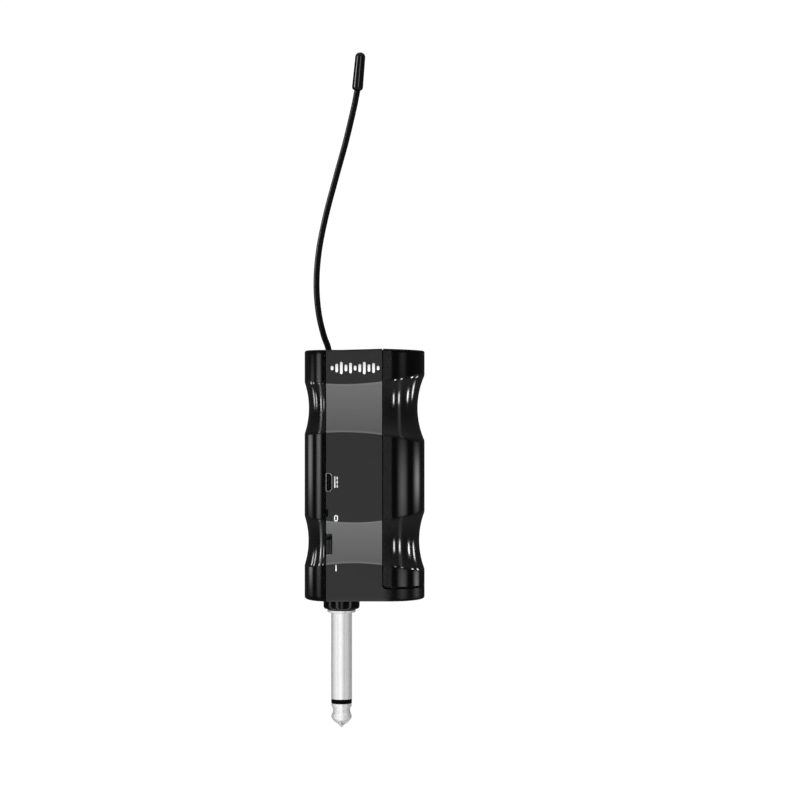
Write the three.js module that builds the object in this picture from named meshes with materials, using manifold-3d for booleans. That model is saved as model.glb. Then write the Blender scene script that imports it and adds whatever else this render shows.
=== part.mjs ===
// Plug-in wireless guitar transmitter: a two-shell housing with two grip waists, a sliding
// battery door, a 6.35 mm mono plug below and a flexible whip antenna above.
// Millimetres, +Z up, front panel towards -Y. The origin is on the plug's axis, in the plane
// of the shoulder that stops against the jack.
import * as THREE from 'three';
import { mergeVertices } from 'three/addons/utils/BufferGeometryUtils.js';
import Module from 'manifold-3d';

const wasm = await Module();
wasm.setup();

// ---------------------------------------------------------------- driving dimensions
const WALL = 1.5;
const HALF_DEPTH = 12.5;
const BODY_LEFT = -11.1;
const BODY_RIGHT = 25.0;
const BODY_BOTTOM = 4.3;
const BODY_TOP = 78.75;
const FLAT_LEFT = -4.4;
const FLAT_RIGHT = 14.9;
const EDGE_ROUND = 0.6;
const RIDGE_RISE = 0.35;
const RIDGE_SPREAD = 12;
const EDGE_STEPS = 2;
const WAIST_STEPS = 7;
const FAR = 100;

// Grip waists: a round cutter of this radius sinks deeper towards the two ends of the body.
const WAIST_RADIUS = 24;
const WAIST_SPAN = 24.14;
const WAISTS = [
  { height: 21.7, shallow: 0.71, gain: 1.16, middle: 3.9 },
  { height: 61.5, shallow: 1.0, gain: 1.1, middle: 0.9 },
];

// Parting planes and the gaps that show between the housing parts
const SEAM_LEFT_EDGE = -4.75;
const SEAM_RIGHT_EDGE = -4.25;
const DOOR_X = 12.45;
const DOOR_BOTTOM = 8.1;
const DOOR_CORNER = 1.0;
const DOOR_GAP = 0.3;

// 6.35 mm plug
const PLUG_RADIUS = 3.175;
const NECK_RADIUS = 3.3;
const SHOULDER_RADIUS = 4.3;
const SHOULDER_HEIGHT = 0.8;
const NECK_TOP = 9.3;
const BORE_RADIUS = 1.9;
const SLEEVE_END = -25.5;
const TIP_START = -27.7;
const TIP_END = -34.6;
const COLLAR_RADIUS = 5.45;

// Battery cell, 18 mm class
const CELL_X = 11.9;
const CELL_RADIUS = 9.15;
const CELL_BOTTOM = 9.9;
const CELL_TOP = 74.9;

// Circuit board, standing along the parting plane
const BOARD_LEFT = -5.4;
const BOARD_RIGHT = -4.4;
const BOARD_HALF_WIDTH = 9.2;
const BOARD_BOTTOM = 12.2;
const BOARD_TOP = 74.4;
const SIT = 0.05;

// Front openings along the parting plane
const USB = { left: -4.3, right: -2.45, bottom: 36.85, top: 42.35 };
const LED = { left: -4.2, right: -3.65, bottom: 29.45, top: 31.5 };
const KNOB_HEIGHT = 4.35;
const KNOB_TRAVEL = 1.4;
const SLOT_BOTTOM = 18.4;
const SLOT = {
  left: -4.3, right: -2.5, bottom: SLOT_BOTTOM, top: SLOT_BOTTOM + KNOB_HEIGHT + KNOB_TRAVEL + 0.15,
};
const SKIRT = { bottom: SLOT_BOTTOM - 1.2, top: SLOT_BOTTOM + 7.5 };

// Wall between the board and the cell, and its four screws
const DIVIDER_LEFT = 1.2;
const DIVIDER_RIGHT = 2.4;
const DIVIDER_BOTTOM = 11;
const DIVIDER_TOP = 72;
const SCREW_Y = 7;
const SCREW_HEIGHTS = [13.6, 68];
const BOSS_RADIUS = 2.2;

// Antenna: a rubber-jacketed spring wire, in the plane y = 0
const ANTENNA_X = -3.85;
const JACKET_RADIUS = 0.925;
const JACKET_BORE = 0.55;
const CORE_RADIUS = 0.35;
const CAP_RADIUS = 1.48;
const FLEX_AT = 26;
const FLEX_GAP = 0.4;
const ANTENNA_ROUTE = [
  [-3.85, 78.75], [-4.2, 80.2], [-5.25, 83], [-6.85, 89.8], [-7.55, 98.5], [-6.9, 108.2],
  [-4.9, 118.7], [-1.75, 130.7], [1.25, 141.6], [3.86, 152.6], [4.75, 157.2],
];
const CAP_BOTTOM = [4.7, 156.9];
const CAP_TOP = [5.75, 168.6];

// ---------------------------------------------------------------- materials
const finish = (color, roughness, metalness) =>
  new THREE.MeshStandardMaterial({ color, roughness, metalness });

const MATERIALS = {
  satin: finish(0x33343a, 0.45, 0),
  gloss: finish(0x0c0c0d, 0.12, 0),
  chrome: finish(0xdedee2, 0.08, 1),
  steel: finish(0xb8babd, 0.3, 1),
  brass: finish(0xc9a24a, 0.3, 1),
  copper: finish(0xb8693c, 0.35, 1),
  black: finish(0x161617, 0.5, 0),
  rubber: finish(0x1b1b1c, 0.65, 0),
  board: finish(0x1d5a34, 0.5, 0),
  chip: finish(0x1e1f21, 0.6, 0),
  ceramic: finish(0xe8e2d2, 0.4, 0),
  sleeve: finish(0x2b4fa0, 0.35, 0),
  red: finish(0xa81f1c, 0.5, 0),
  grey: finish(0x5a5c60, 0.55, 0),
};

// ---------------------------------------------------------------- solids
function toSolid(geometry) {
  const bare = geometry.clone();
  bare.deleteAttribute('normal');
  bare.deleteAttribute('uv');
  const merged = mergeVertices(bare, 1e-4);
  return new wasm.Manifold(new wasm.Mesh({
    numProp: 3,
    vertProperties: new Float32Array(merged.attributes.position.array),
    triVerts: new Uint32Array(merged.index.array),
  }));
}

function toGeometry(solid) {
  const mesh = solid.getMesh();
  const points = new Float32Array(mesh.numVert * 3);
  for (let i = 0; i < mesh.numVert; i += 1) {
    for (let axis = 0; axis < 3; axis += 1) {
      points[i * 3 + axis] = mesh.vertProperties[i * mesh.numProp + axis];
    }
  }
  const geometry = new THREE.BufferGeometry();
  geometry.setAttribute('position', new THREE.BufferAttribute(points, 3));
  geometry.setIndex(new THREE.BufferAttribute(new Uint32Array(mesh.triVerts), 1));
  return geometry;
}

function box(x0, x1, y0, y1, z0, z1) {
  const geometry = new THREE.BoxGeometry(x1 - x0, y1 - y0, z1 - z0);
  return geometry.translate((x0 + x1) / 2, (y0 + y1) / 2, (z0 + z1) / 2);
}

// A turned piece about a vertical axis; profile points are [radius, height].
function turned(profile, x = 0, y = 0, sides = 32) {
  const points = profile.map(([radius, height]) => new THREE.Vector2(radius, height));
  const geometry = new THREE.LatheGeometry(points, sides);
  return geometry.rotateX(Math.PI / 2).translate(x, y, 0);
}

const rod = (radius, z0, z1, x = 0, y = 0, sides = 24) =>
  turned([[0, z0], [radius, z0], [radius, z1], [0, z1]], x, y, sides);

const ring = (inner, outer, z0, z1, x = 0, y = 0, sides = 24) =>
  turned([[inner, z0], [outer, z0], [outer, z1], [inner, z1], [inner, z0]], x, y, sides);

function rodAlongX(radius, x0, x1, y, z, sides = 16) {
  const geometry = new THREE.CylinderGeometry(radius, radius, x1 - x0, sides);
  return geometry.rotateZ(Math.PI / 2).translate((x0 + x1) / 2, y, z);
}

// An outline in the XZ plane, pushed from y0 to y1
function plateAlongY(shape, y0, y1, steps = 6) {
  const options = { depth: y1 - y0, bevelEnabled: false, curveSegments: steps };
  return new THREE.ExtrudeGeometry(shape, options).rotateX(Math.PI / 2).translate(0, y1, 0);
}

function circleShape(radius, sides, bore = 0) {
  const polygon = (r) => Array.from({ length: sides }, (_, i) => {
    const angle = (2 * Math.PI * i) / sides;
    return new THREE.Vector2(r * Math.cos(angle), r * Math.sin(angle));
  });
  const shape = new THREE.Shape(polygon(radius));
  if (bore > 0) shape.holes.push(new THREE.Path(polygon(bore).reverse()));
  return shape;
}

function tube(curve, radius, steps, sides = 8, bore = 0) {
  const options = { steps, extrudePath: curve, bevelEnabled: false };
  return new THREE.ExtrudeGeometry(circleShape(radius, sides, bore), options);
}

const spline = (points) =>
  new THREE.CatmullRomCurve3(points.map(([x, y, z]) => new THREE.Vector3(x, y, z)));

// ---------------------------------------------------------------- housing form
const topHeight = (x) =>
  BODY_TOP + RIDGE_RISE * Math.max(0, 1 - Math.abs(x - DOOR_X) / RIDGE_SPREAD);

// Outline seen from above: flat front and back, joined by half-ellipses at both ends.
function outline() {
  const points = [];
  const flats = [FLAT_LEFT, -0.2, 4, 8.2, DOOR_X];
  const flat = (x, side) => points.push({ x, y: side * HALF_DEPTH, normal: [0, side] });
  const end = (centre, reach, turn, steps) => {
    for (let i = 0; i <= steps; i += 1) {
      const angle = turn * (i / steps - 0.5) * Math.PI;
      const across = Math.cos(angle) / reach;
      const along = Math.sin(angle) / HALF_DEPTH;
      const length = Math.hypot(across, along);
      const [x, y] = [centre + reach * Math.cos(angle), HALF_DEPTH * Math.sin(angle)];
      points.push({ x, y, normal: [across / length, along / length] });
    }
  };
  flats.slice(1).forEach((x) => flat(x, -1));
  end(FLAT_RIGHT, BODY_RIGHT - FLAT_RIGHT, 1, 13);
  flats.slice(1).reverse().forEach((x) => flat(x, 1));
  end(FLAT_LEFT, BODY_LEFT - FLAT_LEFT, -1, 10);
  return points;
}

const waistDepth = (waist, x) =>
  waist.shallow + waist.gain * ((x - waist.middle) / WAIST_SPAN) ** 2;

// One arc across a waist, crease to crease: [height, inward offset]
function waistRows(waist, x, inset) {
  const depth = waistDepth(waist, x);
  const half = Math.sqrt(2 * WAIST_RADIUS * depth - depth ** 2);
  return Array.from({ length: WAIST_STEPS + 1 }, (_, k) => {
    const rise = half * ((2 * k) / WAIST_STEPS - 1);
    const sink = Math.sqrt(WAIST_RADIUS ** 2 - rise ** 2) - (WAIST_RADIUS - depth);
    return [waist.height + rise, inset + sink];
  });
}

// Heights and inward offsets up the side of the body, at one x
function sideRows(x, inset, low, high, round) {
  const steps = round > 0 ? EDGE_STEPS : 0;
  const rows = [];
  for (let i = 0; i <= steps; i += 1) {
    const angle = steps ? ((i / steps) * Math.PI) / 2 : Math.PI / 2;
    rows.push([low + round * (1 - Math.cos(angle)), inset + round * (1 - Math.sin(angle))]);
  }
  WAISTS.forEach((waist) => rows.push(...waistRows(waist, x, inset)));
  for (let i = 0; i <= steps; i += 1) {
    const angle = steps ? ((i / steps) * Math.PI) / 2 : 0;
    rows.push([high - round * (1 - Math.sin(angle)), inset + round * (1 - Math.cos(angle))]);
  }
  return rows;
}

// The body's form, moved inwards by inset: the housing is the difference of two of these.
function bodyForm(inset, round) {
  const columns = outline();
  const positions = [];
  const low = BODY_BOTTOM + inset;
  const grid = columns.map(({ x }) => sideRows(x, inset, low, topHeight(x) - inset, round));
  const rows = grid[0].length;
  for (let row = 0; row < rows; row += 1) {
    columns.forEach(({ x, y, normal }, column) => {
      const [height, offset] = grid[column][row];
      positions.push(x - normal[0] * offset, y - normal[1] * offset, height);
    });
  }
  const bottomCentre = rows * columns.length;
  positions.push(DOOR_X, 0, low, DOOR_X, 0, topHeight(DOOR_X) - inset);
  const triangles = [];
  columns.forEach((_, column) => {
    const next = (column + 1) % columns.length;
    for (let row = 0; row < rows - 1; row += 1) {
      const here = row * columns.length;
      const above = here + columns.length;
      triangles.push(here + column, here + next, above + next);
      triangles.push(here + column, above + next, above + column);
    }
    const topRow = (rows - 1) * columns.length;
    triangles.push(bottomCentre, next, column);
    triangles.push(bottomCentre + 1, topRow + column, topRow + next);
  });
  const geometry = new THREE.BufferGeometry();
  geometry.setAttribute('position', new THREE.BufferAttribute(new Float32Array(positions), 3));
  geometry.setIndex(triangles);
  return toSolid(geometry);
}

const block = (...sides) => toSolid(box(...sides));
const join = (first, ...others) => others.reduce((sum, other) => sum.add(other), first);
const cut = (first, ...others) => others.reduce((rest, other) => rest.subtract(other), first);

const outerForm = bodyForm(0, EDGE_ROUND);
const innerForm = bodyForm(WALL, 0);
const housing = outerForm.subtract(innerForm);

// The region right of the door seam and above the bottom strip, grown by half the seam's gap
function doorRegion(grow) {
  const left = DOOR_X - grow;
  const bottom = DOOR_BOTTOM - grow;
  const radius = DOOR_CORNER + grow;
  const shape = new THREE.Shape();
  shape.moveTo(left, FAR);
  shape.lineTo(left, bottom + radius);
  shape.absarc(left + radius, bottom + radius, radius, Math.PI, 1.5 * Math.PI, false);
  shape.lineTo(FAR, bottom);
  shape.lineTo(FAR, FAR);
  return toSolid(plateAlongY(shape, -FAR, FAR));
}

// Ship-lap joint along the parting plane: a band at half the wall's depth
const lapBand = (outerInset, innerInset, x0, x1) => cut(
  bodyForm(outerInset, 0).intersect(block(x0, x1, -FAR, FAR, -FAR, FAR)),
  bodyForm(innerInset, 0),
);

const screwPlaces = () =>
  SCREW_HEIGHTS.flatMap((height) => [-SCREW_Y, SCREW_Y].map((y) => ({ y, height })));

const antennaHole = () => toSolid(rod(1.95, BODY_TOP - 4, BODY_TOP + 4, ANTENNA_X, 0, 20));

// Slots for the charging port, the light and the switch, open towards the parting plane
const frontSlots = (grow) => [USB, LED, SLOT].map(({ right, bottom, top }) =>
  block(-6, right + grow, -FAR, -8.5, bottom - grow, top + grow));

// ---------------------------------------------------------------- housing parts
function mainShell() {
  const side = block(SEAM_RIGHT_EDGE, FAR, -FAR, FAR, -FAR, FAR);
  const tubes = screwPlaces().map(({ y, height }) =>
    toSolid(rodAlongX(BOSS_RADIUS, -4.15, DIVIDER_LEFT + 0.3, y, height)));
  const divider = bodyForm(WALL - 0.3, 0).intersect(
    block(DIVIDER_LEFT, DIVIDER_RIGHT, -FAR, FAR, DIVIDER_BOTTOM, DIVIDER_TOP));
  const screwHoles = screwPlaces().map(({ y, height }) =>
    toSolid(rodAlongX(1.3, -6, DIVIDER_RIGHT + 1, y, height)));
  const plugHole = toSolid(rod(NECK_RADIUS + 0.15, 0, BODY_BOTTOM + WALL + 1));
  return cut(
    join(housing.intersect(side), divider, ...tubes),
    doorRegion(DOOR_GAP / 2),
    lapBand(0.7, WALL + 0.1, -6, -3.6),
    ...screwHoles, ...frontSlots(0.05), plugHole, antennaHole(),
  );
}

function leftShell() {
  const side = block(-FAR, SEAM_LEFT_EDGE, -FAR, FAR, -FAR, FAR);
  const lap = lapBand(0.85, WALL, SEAM_LEFT_EDGE - 0.6, -3.75);
  const bosses = screwPlaces().map(({ y, height }) =>
    toSolid(rodAlongX(BOSS_RADIUS, -20, SEAM_LEFT_EDGE, y, height)).intersect(
      bodyForm(WALL - 0.4, 0)));
  const holes = screwPlaces().map(({ y, height }) =>
    toSolid(rodAlongX(1.05, -8.1, 0, y, height)));
  const slots = [
    block(SEAM_LEFT_EDGE, 0, -FAR, -8.5, USB.bottom - 0.4, USB.top + 0.4),
    block(SEAM_LEFT_EDGE, 0, -FAR, -8.5, LED.bottom - 0.3, LED.top + 0.3),
    block(SEAM_LEFT_EDGE, 0, -FAR, -8.5, SKIRT.bottom - 1.2, SKIRT.top + KNOB_TRAVEL + 0.3),
  ];
  return cut(join(housing.intersect(side), lap, ...bosses), ...holes, ...slots, antennaHole());
}

const batteryDoor = () => housing.intersect(doorRegion(-DOOR_GAP / 2));

// ---------------------------------------------------------------- plug
const plugSleeve = () => toSolid(turned([
  [BORE_RADIUS, SLEEVE_END], [PLUG_RADIUS, SLEEVE_END], [PLUG_RADIUS, 0],
  [SHOULDER_RADIUS - 0.25, 0], [SHOULDER_RADIUS, 0.25], [SHOULDER_RADIUS, SHOULDER_HEIGHT],
  [NECK_RADIUS, SHOULDER_HEIGHT], [NECK_RADIUS, NECK_TOP], [BORE_RADIUS, NECK_TOP],
  [BORE_RADIUS, SLEEVE_END],
]));

const plugTip = () => toSolid(turned([
  [0, TIP_END], [0.35, -34.5], [0.9, -33.7], [1.8, -33.1], [2.5, -32.5], [2.98, -31.9],
  [3.1, -31.3], [2.98, -30.7], [2.65, -30.1], [2.45, -29.5], [2.55, -28.9], [2.9, -28.3],
  [3.08, TIP_START], [0, TIP_START],
], 0, 0, 28));

const insulatorRing = () => toSolid(turned([
  [0, TIP_START + 0.05], [3.12, TIP_START + 0.05], [3.12, -26.65], [3.04, -26.6],
  [3.12, -26.55], [3.12, SLEEVE_END - 0.05], [0, SLEEVE_END - 0.05],
]));

const collar = () => toSolid(turned([
  [NECK_RADIUS + 0.2, 1.05], [COLLAR_RADIUS - 0.7, 1.05], [COLLAR_RADIUS - 0.2, 1.25],
  [COLLAR_RADIUS, 1.75], [COLLAR_RADIUS, BODY_BOTTOM - 0.15],
  [NECK_RADIUS + 0.2, BODY_BOTTOM - 0.15], [NECK_RADIUS + 0.2, 1.05],
]));

const plugNut = () => cut(
  toSolid(rod(5.1, 7.1, 8.9, 0, 0, 6)), toSolid(rod(NECK_RADIUS + 0.1, 6, 10)));

const groundTag = () => cut(
  join(toSolid(rod(4.6, 6.4, 6.8)), block(-5, -1.5, -6.9, -2.5, 6.4, 6.8)),
  toSolid(rod(NECK_RADIUS + 0.1, 6, 10)));

const tipTag = () => cut(
  block(-3.2, 1, -1.2, 1.2, 10.6, 10.9), toSolid(rod(0.75, 10, 12, 0, 0, 16)));

// ---------------------------------------------------------------- battery compartment
function contactSpring() {
  const turns = 2.5;
  const points = Array.from({ length: 26 }, (_, i) => {
    const t = i / 25;
    const angle = t * turns * 2 * Math.PI;
    const radius = 3.4 - 1.4 * t;
    return [CELL_X + radius * Math.cos(angle), radius * Math.sin(angle), 6.9 + t * 2.6];
  });
  return toSolid(tube(spline(points), 0.3, 40, 6));
}

const positiveContact = () => join(
  block(8.3, 15.5, -4, 4, 76.5, 76.8), block(7.9, 8.4, -4, 4, 75.5, 76.8));

// ---------------------------------------------------------------- board and its parts
function circuitBoard() {
  const plate = block(
    BOARD_LEFT, BOARD_RIGHT, -BOARD_HALF_WIDTH, BOARD_HALF_WIDTH, BOARD_BOTTOM, BOARD_TOP);
  const clearances = screwPlaces().map(({ y, height }) =>
    toSolid(rodAlongX(BOSS_RADIUS + 0.3, BOARD_LEFT - 1, BOARD_RIGHT + 1, y, height)));
  const corners = [-1, 1].map((side) => block(
    BOARD_LEFT - 1, BOARD_RIGHT + 1, Math.min(side * 4.4, side * FAR),
    Math.max(side * 4.4, side * FAR), 0, SCREW_HEIGHTS[0] + BOSS_RADIUS + 0.3));
  return cut(plate, ...clearances, ...corners);
}

// Connector shell: a D-shaped tube, its two corners away from the board chamfered
function usbShell() {
  const profile = (wall) => {
    const [left, right] = [USB.left + wall, USB.right - wall];
    const [bottom, top] = [USB.bottom + wall, USB.top - wall];
    return new THREE.Shape([
      new THREE.Vector2(left, bottom), new THREE.Vector2(right - 0.7, bottom),
      new THREE.Vector2(right, bottom + 0.75), new THREE.Vector2(right, top - 0.75),
      new THREE.Vector2(right - 0.7, top), new THREE.Vector2(left, top),
    ]);
  };
  return cut(
    toSolid(plateAlongY(profile(0), -12.35, -7.2)),
    toSolid(plateAlongY(profile(0.2), -13, -7.6)));
}

const usbTongue = () => block(USB.left + 0.62, USB.left + 1.05, -11.7, -7.7, 37.8, 41.4);

const shieldCan = () => cut(
  block(-7.1, BOARD_LEFT - SIT, -5, 5, 34, 52), block(-6.85, -5, -4.75, 4.75, 34.25, 51.75));

const switchFrame = () => cut(
  block(BOARD_RIGHT + SIT, -1.3, -9.7, -6.6, 16.4, 27.3),
  block(-4.05, -1.6, -11, -7.4, 16.8, 26.9));

// The slider: a ribbed thumb piece, a thin skirt behind the slot and a foot in the frame
function switchKnob() {
  const ribs = [-3.75, -3.4, -3.05].map((x) =>
    block(x - 0.06, x + 0.06, -12.4, -12.05, SLOT.bottom + 0.5, SLOT.bottom + KNOB_HEIGHT - 0.4));
  return cut(join(
    block(-4.2, -2.6, -12.15, -10, SLOT.bottom + 0.1, SLOT.bottom + KNOB_HEIGHT),
    block(-4.2, -1.8, -10.1, -9.85, SKIRT.bottom, SKIRT.top),
    block(-3.85, -1.9, -9.9, -8.2, SLOT.bottom + 0.2, SLOT.bottom + KNOB_HEIGHT),
  ), ...ribs);
}

// ---------------------------------------------------------------- antenna
const route = spline(ANTENNA_ROUTE.map(([x, z]) => [x, 0, z]));

// A stretch of the whip between two fractions of its route
class Stretch extends THREE.Curve {
  constructor(from, to) {
    super();
    this.from = from;
    this.to = to;
  }

  getPoint(t, target = new THREE.Vector3()) {
    return target.copy(route.getPointAt(this.from + (this.to - this.from) * t));
  }
}

const fraction = (millimetres) => millimetres / route.getLength();

const jacket = (from, to, steps) => tube(
  new Stretch(fraction(from), fraction(to)), JACKET_RADIUS, steps, 8, JACKET_BORE);

const core = (from, to, steps) =>
  tube(new Stretch(fraction(from), fraction(to)), CORE_RADIUS, steps, 5);

function antennaCap() {
  const [x0, z0] = CAP_BOTTOM;
  const [x1, z1] = CAP_TOP;
  const length = Math.hypot(x1 - x0, z1 - z0);
  const profile = [[0, 0.45], [1.2, 0.45], [1.4, 0.7], [CAP_RADIUS, 1.4]];
  for (let i = 0; i <= 5; i += 1) {
    const angle = ((i / 5) * Math.PI) / 2;
    const radius = i < 5 ? CAP_RADIUS * Math.cos(angle) : 0;
    profile.push([radius, length - CAP_RADIUS * (1 - Math.sin(angle))]);
  }
  const geometry = turned(profile, 0, 0, 20);
  return geometry.rotateY(Math.atan2(x1 - x0, z1 - z0)).translate(x0, 0, z0);
}

const grommet = () => toSolid(turned([
  [JACKET_RADIUS + 0.15, 76.4], [2.6, 76.4], [2.6, 76.9], [1.7, 76.9], [1.7, BODY_TOP + 0.05],
  [1.5, BODY_TOP + 0.2], [JACKET_RADIUS + 0.15, BODY_TOP + 0.2], [JACKET_RADIUS + 0.15, 76.4],
], ANTENNA_X, 0, 20));

// ---------------------------------------------------------------- assembly
const assembly = new THREE.Group();
assembly.name = 'wireless_guitar_transmitter';

function add(name, material, shape) {
  const geometry = shape.isBufferGeometry ? shape : toGeometry(shape);
  const mesh = new THREE.Mesh(geometry, MATERIALS[material]);
  mesh.name = name;
  assembly.add(mesh);
  return mesh;
}

function addHousing() {
  add('main_shell', 'satin', mainShell());
  add('left_shell', 'gloss', leftShell());
  add('battery_door', 'gloss', batteryDoor());
  screwPlaces().forEach(({ y, height }, i) => {
    const head = toSolid(rodAlongX(1.8, DIVIDER_RIGHT + SIT, DIVIDER_RIGHT + 1.1, y, height));
    const slot = block(DIVIDER_RIGHT + 0.6, 5, y - 1.3, y + 1.3, height - 0.2, height + 0.2);
    const cross = block(DIVIDER_RIGHT + 0.6, 5, y - 0.2, y + 0.2, height - 1.3, height + 1.3);
    const shank = toSolid(rodAlongX(0.85, -7.9, DIVIDER_RIGHT + 0.4, y, height, 12));
    add(`shell_screw_${i + 1}`, 'steel', cut(join(head, shank), slot, cross));
  });
}

function addPlug() {
  add('plug_sleeve', 'chrome', plugSleeve());
  add('plug_tip', 'chrome', plugTip());
  add('plug_insulator_ring', 'black', cut(insulatorRing(), toSolid(rod(0.8, -30, 0))));
  add('plug_collar', 'gloss', collar());
  add('plug_inner_insulator', 'black', ring(0.8, BORE_RADIUS - 0.1, SLEEVE_END, 10.5));
  add('plug_tip_rod', 'brass', rod(0.65, TIP_START + 0.05, 11.2, 0, 0, 16));
  add('plug_nut', 'steel', plugNut());
  add('plug_ground_tag', 'brass', groundTag());
  add('plug_tip_tag', 'brass', tipTag());
}

function addBattery() {
  add('battery_cell', 'sleeve', turned([
    [0, CELL_BOTTOM], [CELL_RADIUS - 0.4, CELL_BOTTOM], [CELL_RADIUS, CELL_BOTTOM + 0.4],
    [CELL_RADIUS, CELL_TOP - 0.4], [CELL_RADIUS - 0.4, CELL_TOP], [0, CELL_TOP],
  ], CELL_X, 0, 40));
  add('battery_cell_terminal', 'steel', turned([
    [0, CELL_TOP + SIT], [2.9, CELL_TOP + SIT], [2.8, 75.9], [2.5, 76.2], [0, 76.2],
  ], CELL_X, 0));
  add('battery_contact_positive', 'steel', positiveContact());
  add('battery_contact_negative', 'steel', block(7.6, 15.8, -4, 4, 6.05, 6.35));
  add('battery_contact_spring', 'steel', contactSpring());
}

function addBoard() {
  const side = BOARD_RIGHT + SIT;
  add('circuit_board', 'board', circuitBoard());
  add('usb_shell', 'steel', usbShell());
  add('usb_tongue', 'black', usbTongue());
  add('switch_frame', 'steel', switchFrame());
  add('switch_knob', 'black', switchKnob());
  add('led_chip', 'ceramic', block(side, -3.6, -7.6, -6.2, 29.7, 31.2));
  add('led_light_pipe', 'black', block(LED.left, LED.right - 0.05, -12.3, -7.8, 29.5, 31.45));
  add('radio_shield_can', 'steel', shieldCan());
  add('radio_chip', 'chip', block(-6.4, BOARD_LEFT - SIT, -2.5, 2.5, 40, 45));
  add('radio_crystal', 'steel', block(-6.2, BOARD_LEFT - SIT, -1.6, 1.6, 36, 38.5));
  add('audio_converter_chip', 'chip', block(side, -3.3, -2, 2, 40, 44));
  add('charger_chip', 'chip', block(side, -3.3, -2.5, 1.5, 31, 34));
  add('power_inductor', 'chip', block(side, -2.6, 3, 7, 30, 34));
  add('audio_capacitor', 'gloss', rod(1.9, 45, 53, -2.4, 4.5, 20));
  add('filter_capacitor_1', 'ceramic', block(side, -3.5, -1, 0.6, 24, 26.4));
  add('filter_capacitor_2', 'ceramic', block(side, -3.5, 2, 3.6, 24, 26.4));
}

function addLeads() {
  const lead = (name, material, points) => add(name, material, tube(spline(points), 0.45, 14));
  lead('lead_positive', 'red', [
    [7.5, 2.5, 76.2], [4.5, 4, 76.2], [0, 5, 75.6], [-2.9, 4.6, 73], [-3.6, 4.2, 69.8]]);
  lead('lead_negative', 'black', [
    [7, 4.6, 6.9], [4.6, 6.6, 7.6], [1.4, 6.2, 9.3], [-1.6, 4.4, 12], [-3.7, 3.4, 15]]);
  lead('lead_tip', 'red', [[-2.6, 0, 11.5], [-2.9, 0.1, 13], [-3.4, 0.3, 15], [-3.8, 0.4, 17]]);
  lead('lead_sleeve', 'black', [
    [-2.6, -5.8, 7.5], [-3, -5.2, 9.4], [-3.4, -3.6, 12], [-3.8, -2.4, 15]]);
}

function addAntenna() {
  const length = route.getLength();
  add('antenna_grommet', 'black', grommet());
  add('antenna_feed_wire', 'copper', rod(0.4, 70.5, 75.4, ANTENNA_X, 0, 10));
  add('antenna_root', 'rubber', rod(JACKET_RADIUS, 75.7, BODY_TOP, ANTENNA_X, 0, 12));
  add('antenna_jacket_lower', 'rubber', jacket(0.9, FLEX_AT, 12));
  add('antenna_core_lower', 'steel', core(1.3, FLEX_AT - 0.3, 8));
  add('antenna_jacket_upper', 'rubber', jacket(FLEX_AT + FLEX_GAP, length, 24));
  add('antenna_core_upper', 'steel', core(FLEX_AT + FLEX_GAP + 0.3, length - 0.3, 16));
  add('antenna_cap', 'gloss', antennaCap());
}

addHousing();
addPlug();
addBattery();
addBoard();
addLeads();
addAntenna();

export default assembly;
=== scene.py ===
"""Looks of the plug-in wireless guitar transmitter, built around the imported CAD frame.

Lengths are written in millimetres and scaled by MM. The front panel faces -Y, the plug's axis
is the Z axis, and the housing parts are rebuilt as fine shells over the CAD form.
"""

import math

import bmesh
import bpy
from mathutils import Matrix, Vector


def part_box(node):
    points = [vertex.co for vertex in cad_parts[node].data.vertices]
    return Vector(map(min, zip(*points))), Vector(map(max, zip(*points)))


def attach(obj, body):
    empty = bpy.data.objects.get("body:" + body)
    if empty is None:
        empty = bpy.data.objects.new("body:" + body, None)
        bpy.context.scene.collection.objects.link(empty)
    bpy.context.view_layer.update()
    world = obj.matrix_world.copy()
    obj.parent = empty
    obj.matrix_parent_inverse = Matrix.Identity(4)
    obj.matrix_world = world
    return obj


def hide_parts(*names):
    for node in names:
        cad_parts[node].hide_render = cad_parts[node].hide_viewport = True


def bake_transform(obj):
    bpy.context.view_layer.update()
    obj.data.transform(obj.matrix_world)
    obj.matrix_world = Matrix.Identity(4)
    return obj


MM = 0.001

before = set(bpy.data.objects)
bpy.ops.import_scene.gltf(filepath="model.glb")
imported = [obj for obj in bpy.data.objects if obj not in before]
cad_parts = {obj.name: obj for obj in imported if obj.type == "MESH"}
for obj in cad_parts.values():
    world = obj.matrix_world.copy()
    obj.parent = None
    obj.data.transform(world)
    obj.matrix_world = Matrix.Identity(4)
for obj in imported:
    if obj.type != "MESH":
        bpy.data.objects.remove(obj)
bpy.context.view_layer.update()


# ---------------------------------------------------------------- measures read from the frame
def low(node):
    """The lowest corner of a CAD node's box, in millimetres."""
    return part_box(node)[0] / MM


def high(node):
    """The highest corner of a CAD node's box, in millimetres."""
    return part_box(node)[1] / MM


BODY_LEFT = low("left_shell").x
BODY_RIGHT = 25.0
HALF_DEPTH = high("main_shell").y
BODY_BOTTOM = low("main_shell").z
RIDGE_TOP = high("battery_door").z
SEAM_LEFT_EDGE = -4.75
SEAM_RIGHT_EDGE = -4.25
DOOR_GAP = 0.3
DOOR_X = low("battery_door").x - DOOR_GAP / 2
DOOR_BOTTOM = low("battery_door").z - DOOR_GAP / 2
DOOR_CORNER = 1.0
FLAT_LEFT = -4.4
FLAT_RIGHT = 14.9
RIDGE_RISE = 0.35
RIDGE_SPREAD = 12
BODY_TOP = RIDGE_TOP - RIDGE_RISE
WALL = 1.5
EDGE_ROUND = 0.6
WAIST_RADIUS = 24
WAIST_SPAN = 24.14
WAISTS = [
    {"height": 21.7, "shallow": 0.71, "gain": 1.16, "middle": 3.9},
    {"height": 61.5, "shallow": 1.0, "gain": 1.1, "middle": 0.9},
]
CREASE_SOFTNESS = 0.16
INLAY_THICK = 0.4
INLAY_GAP = 0.02
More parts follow.
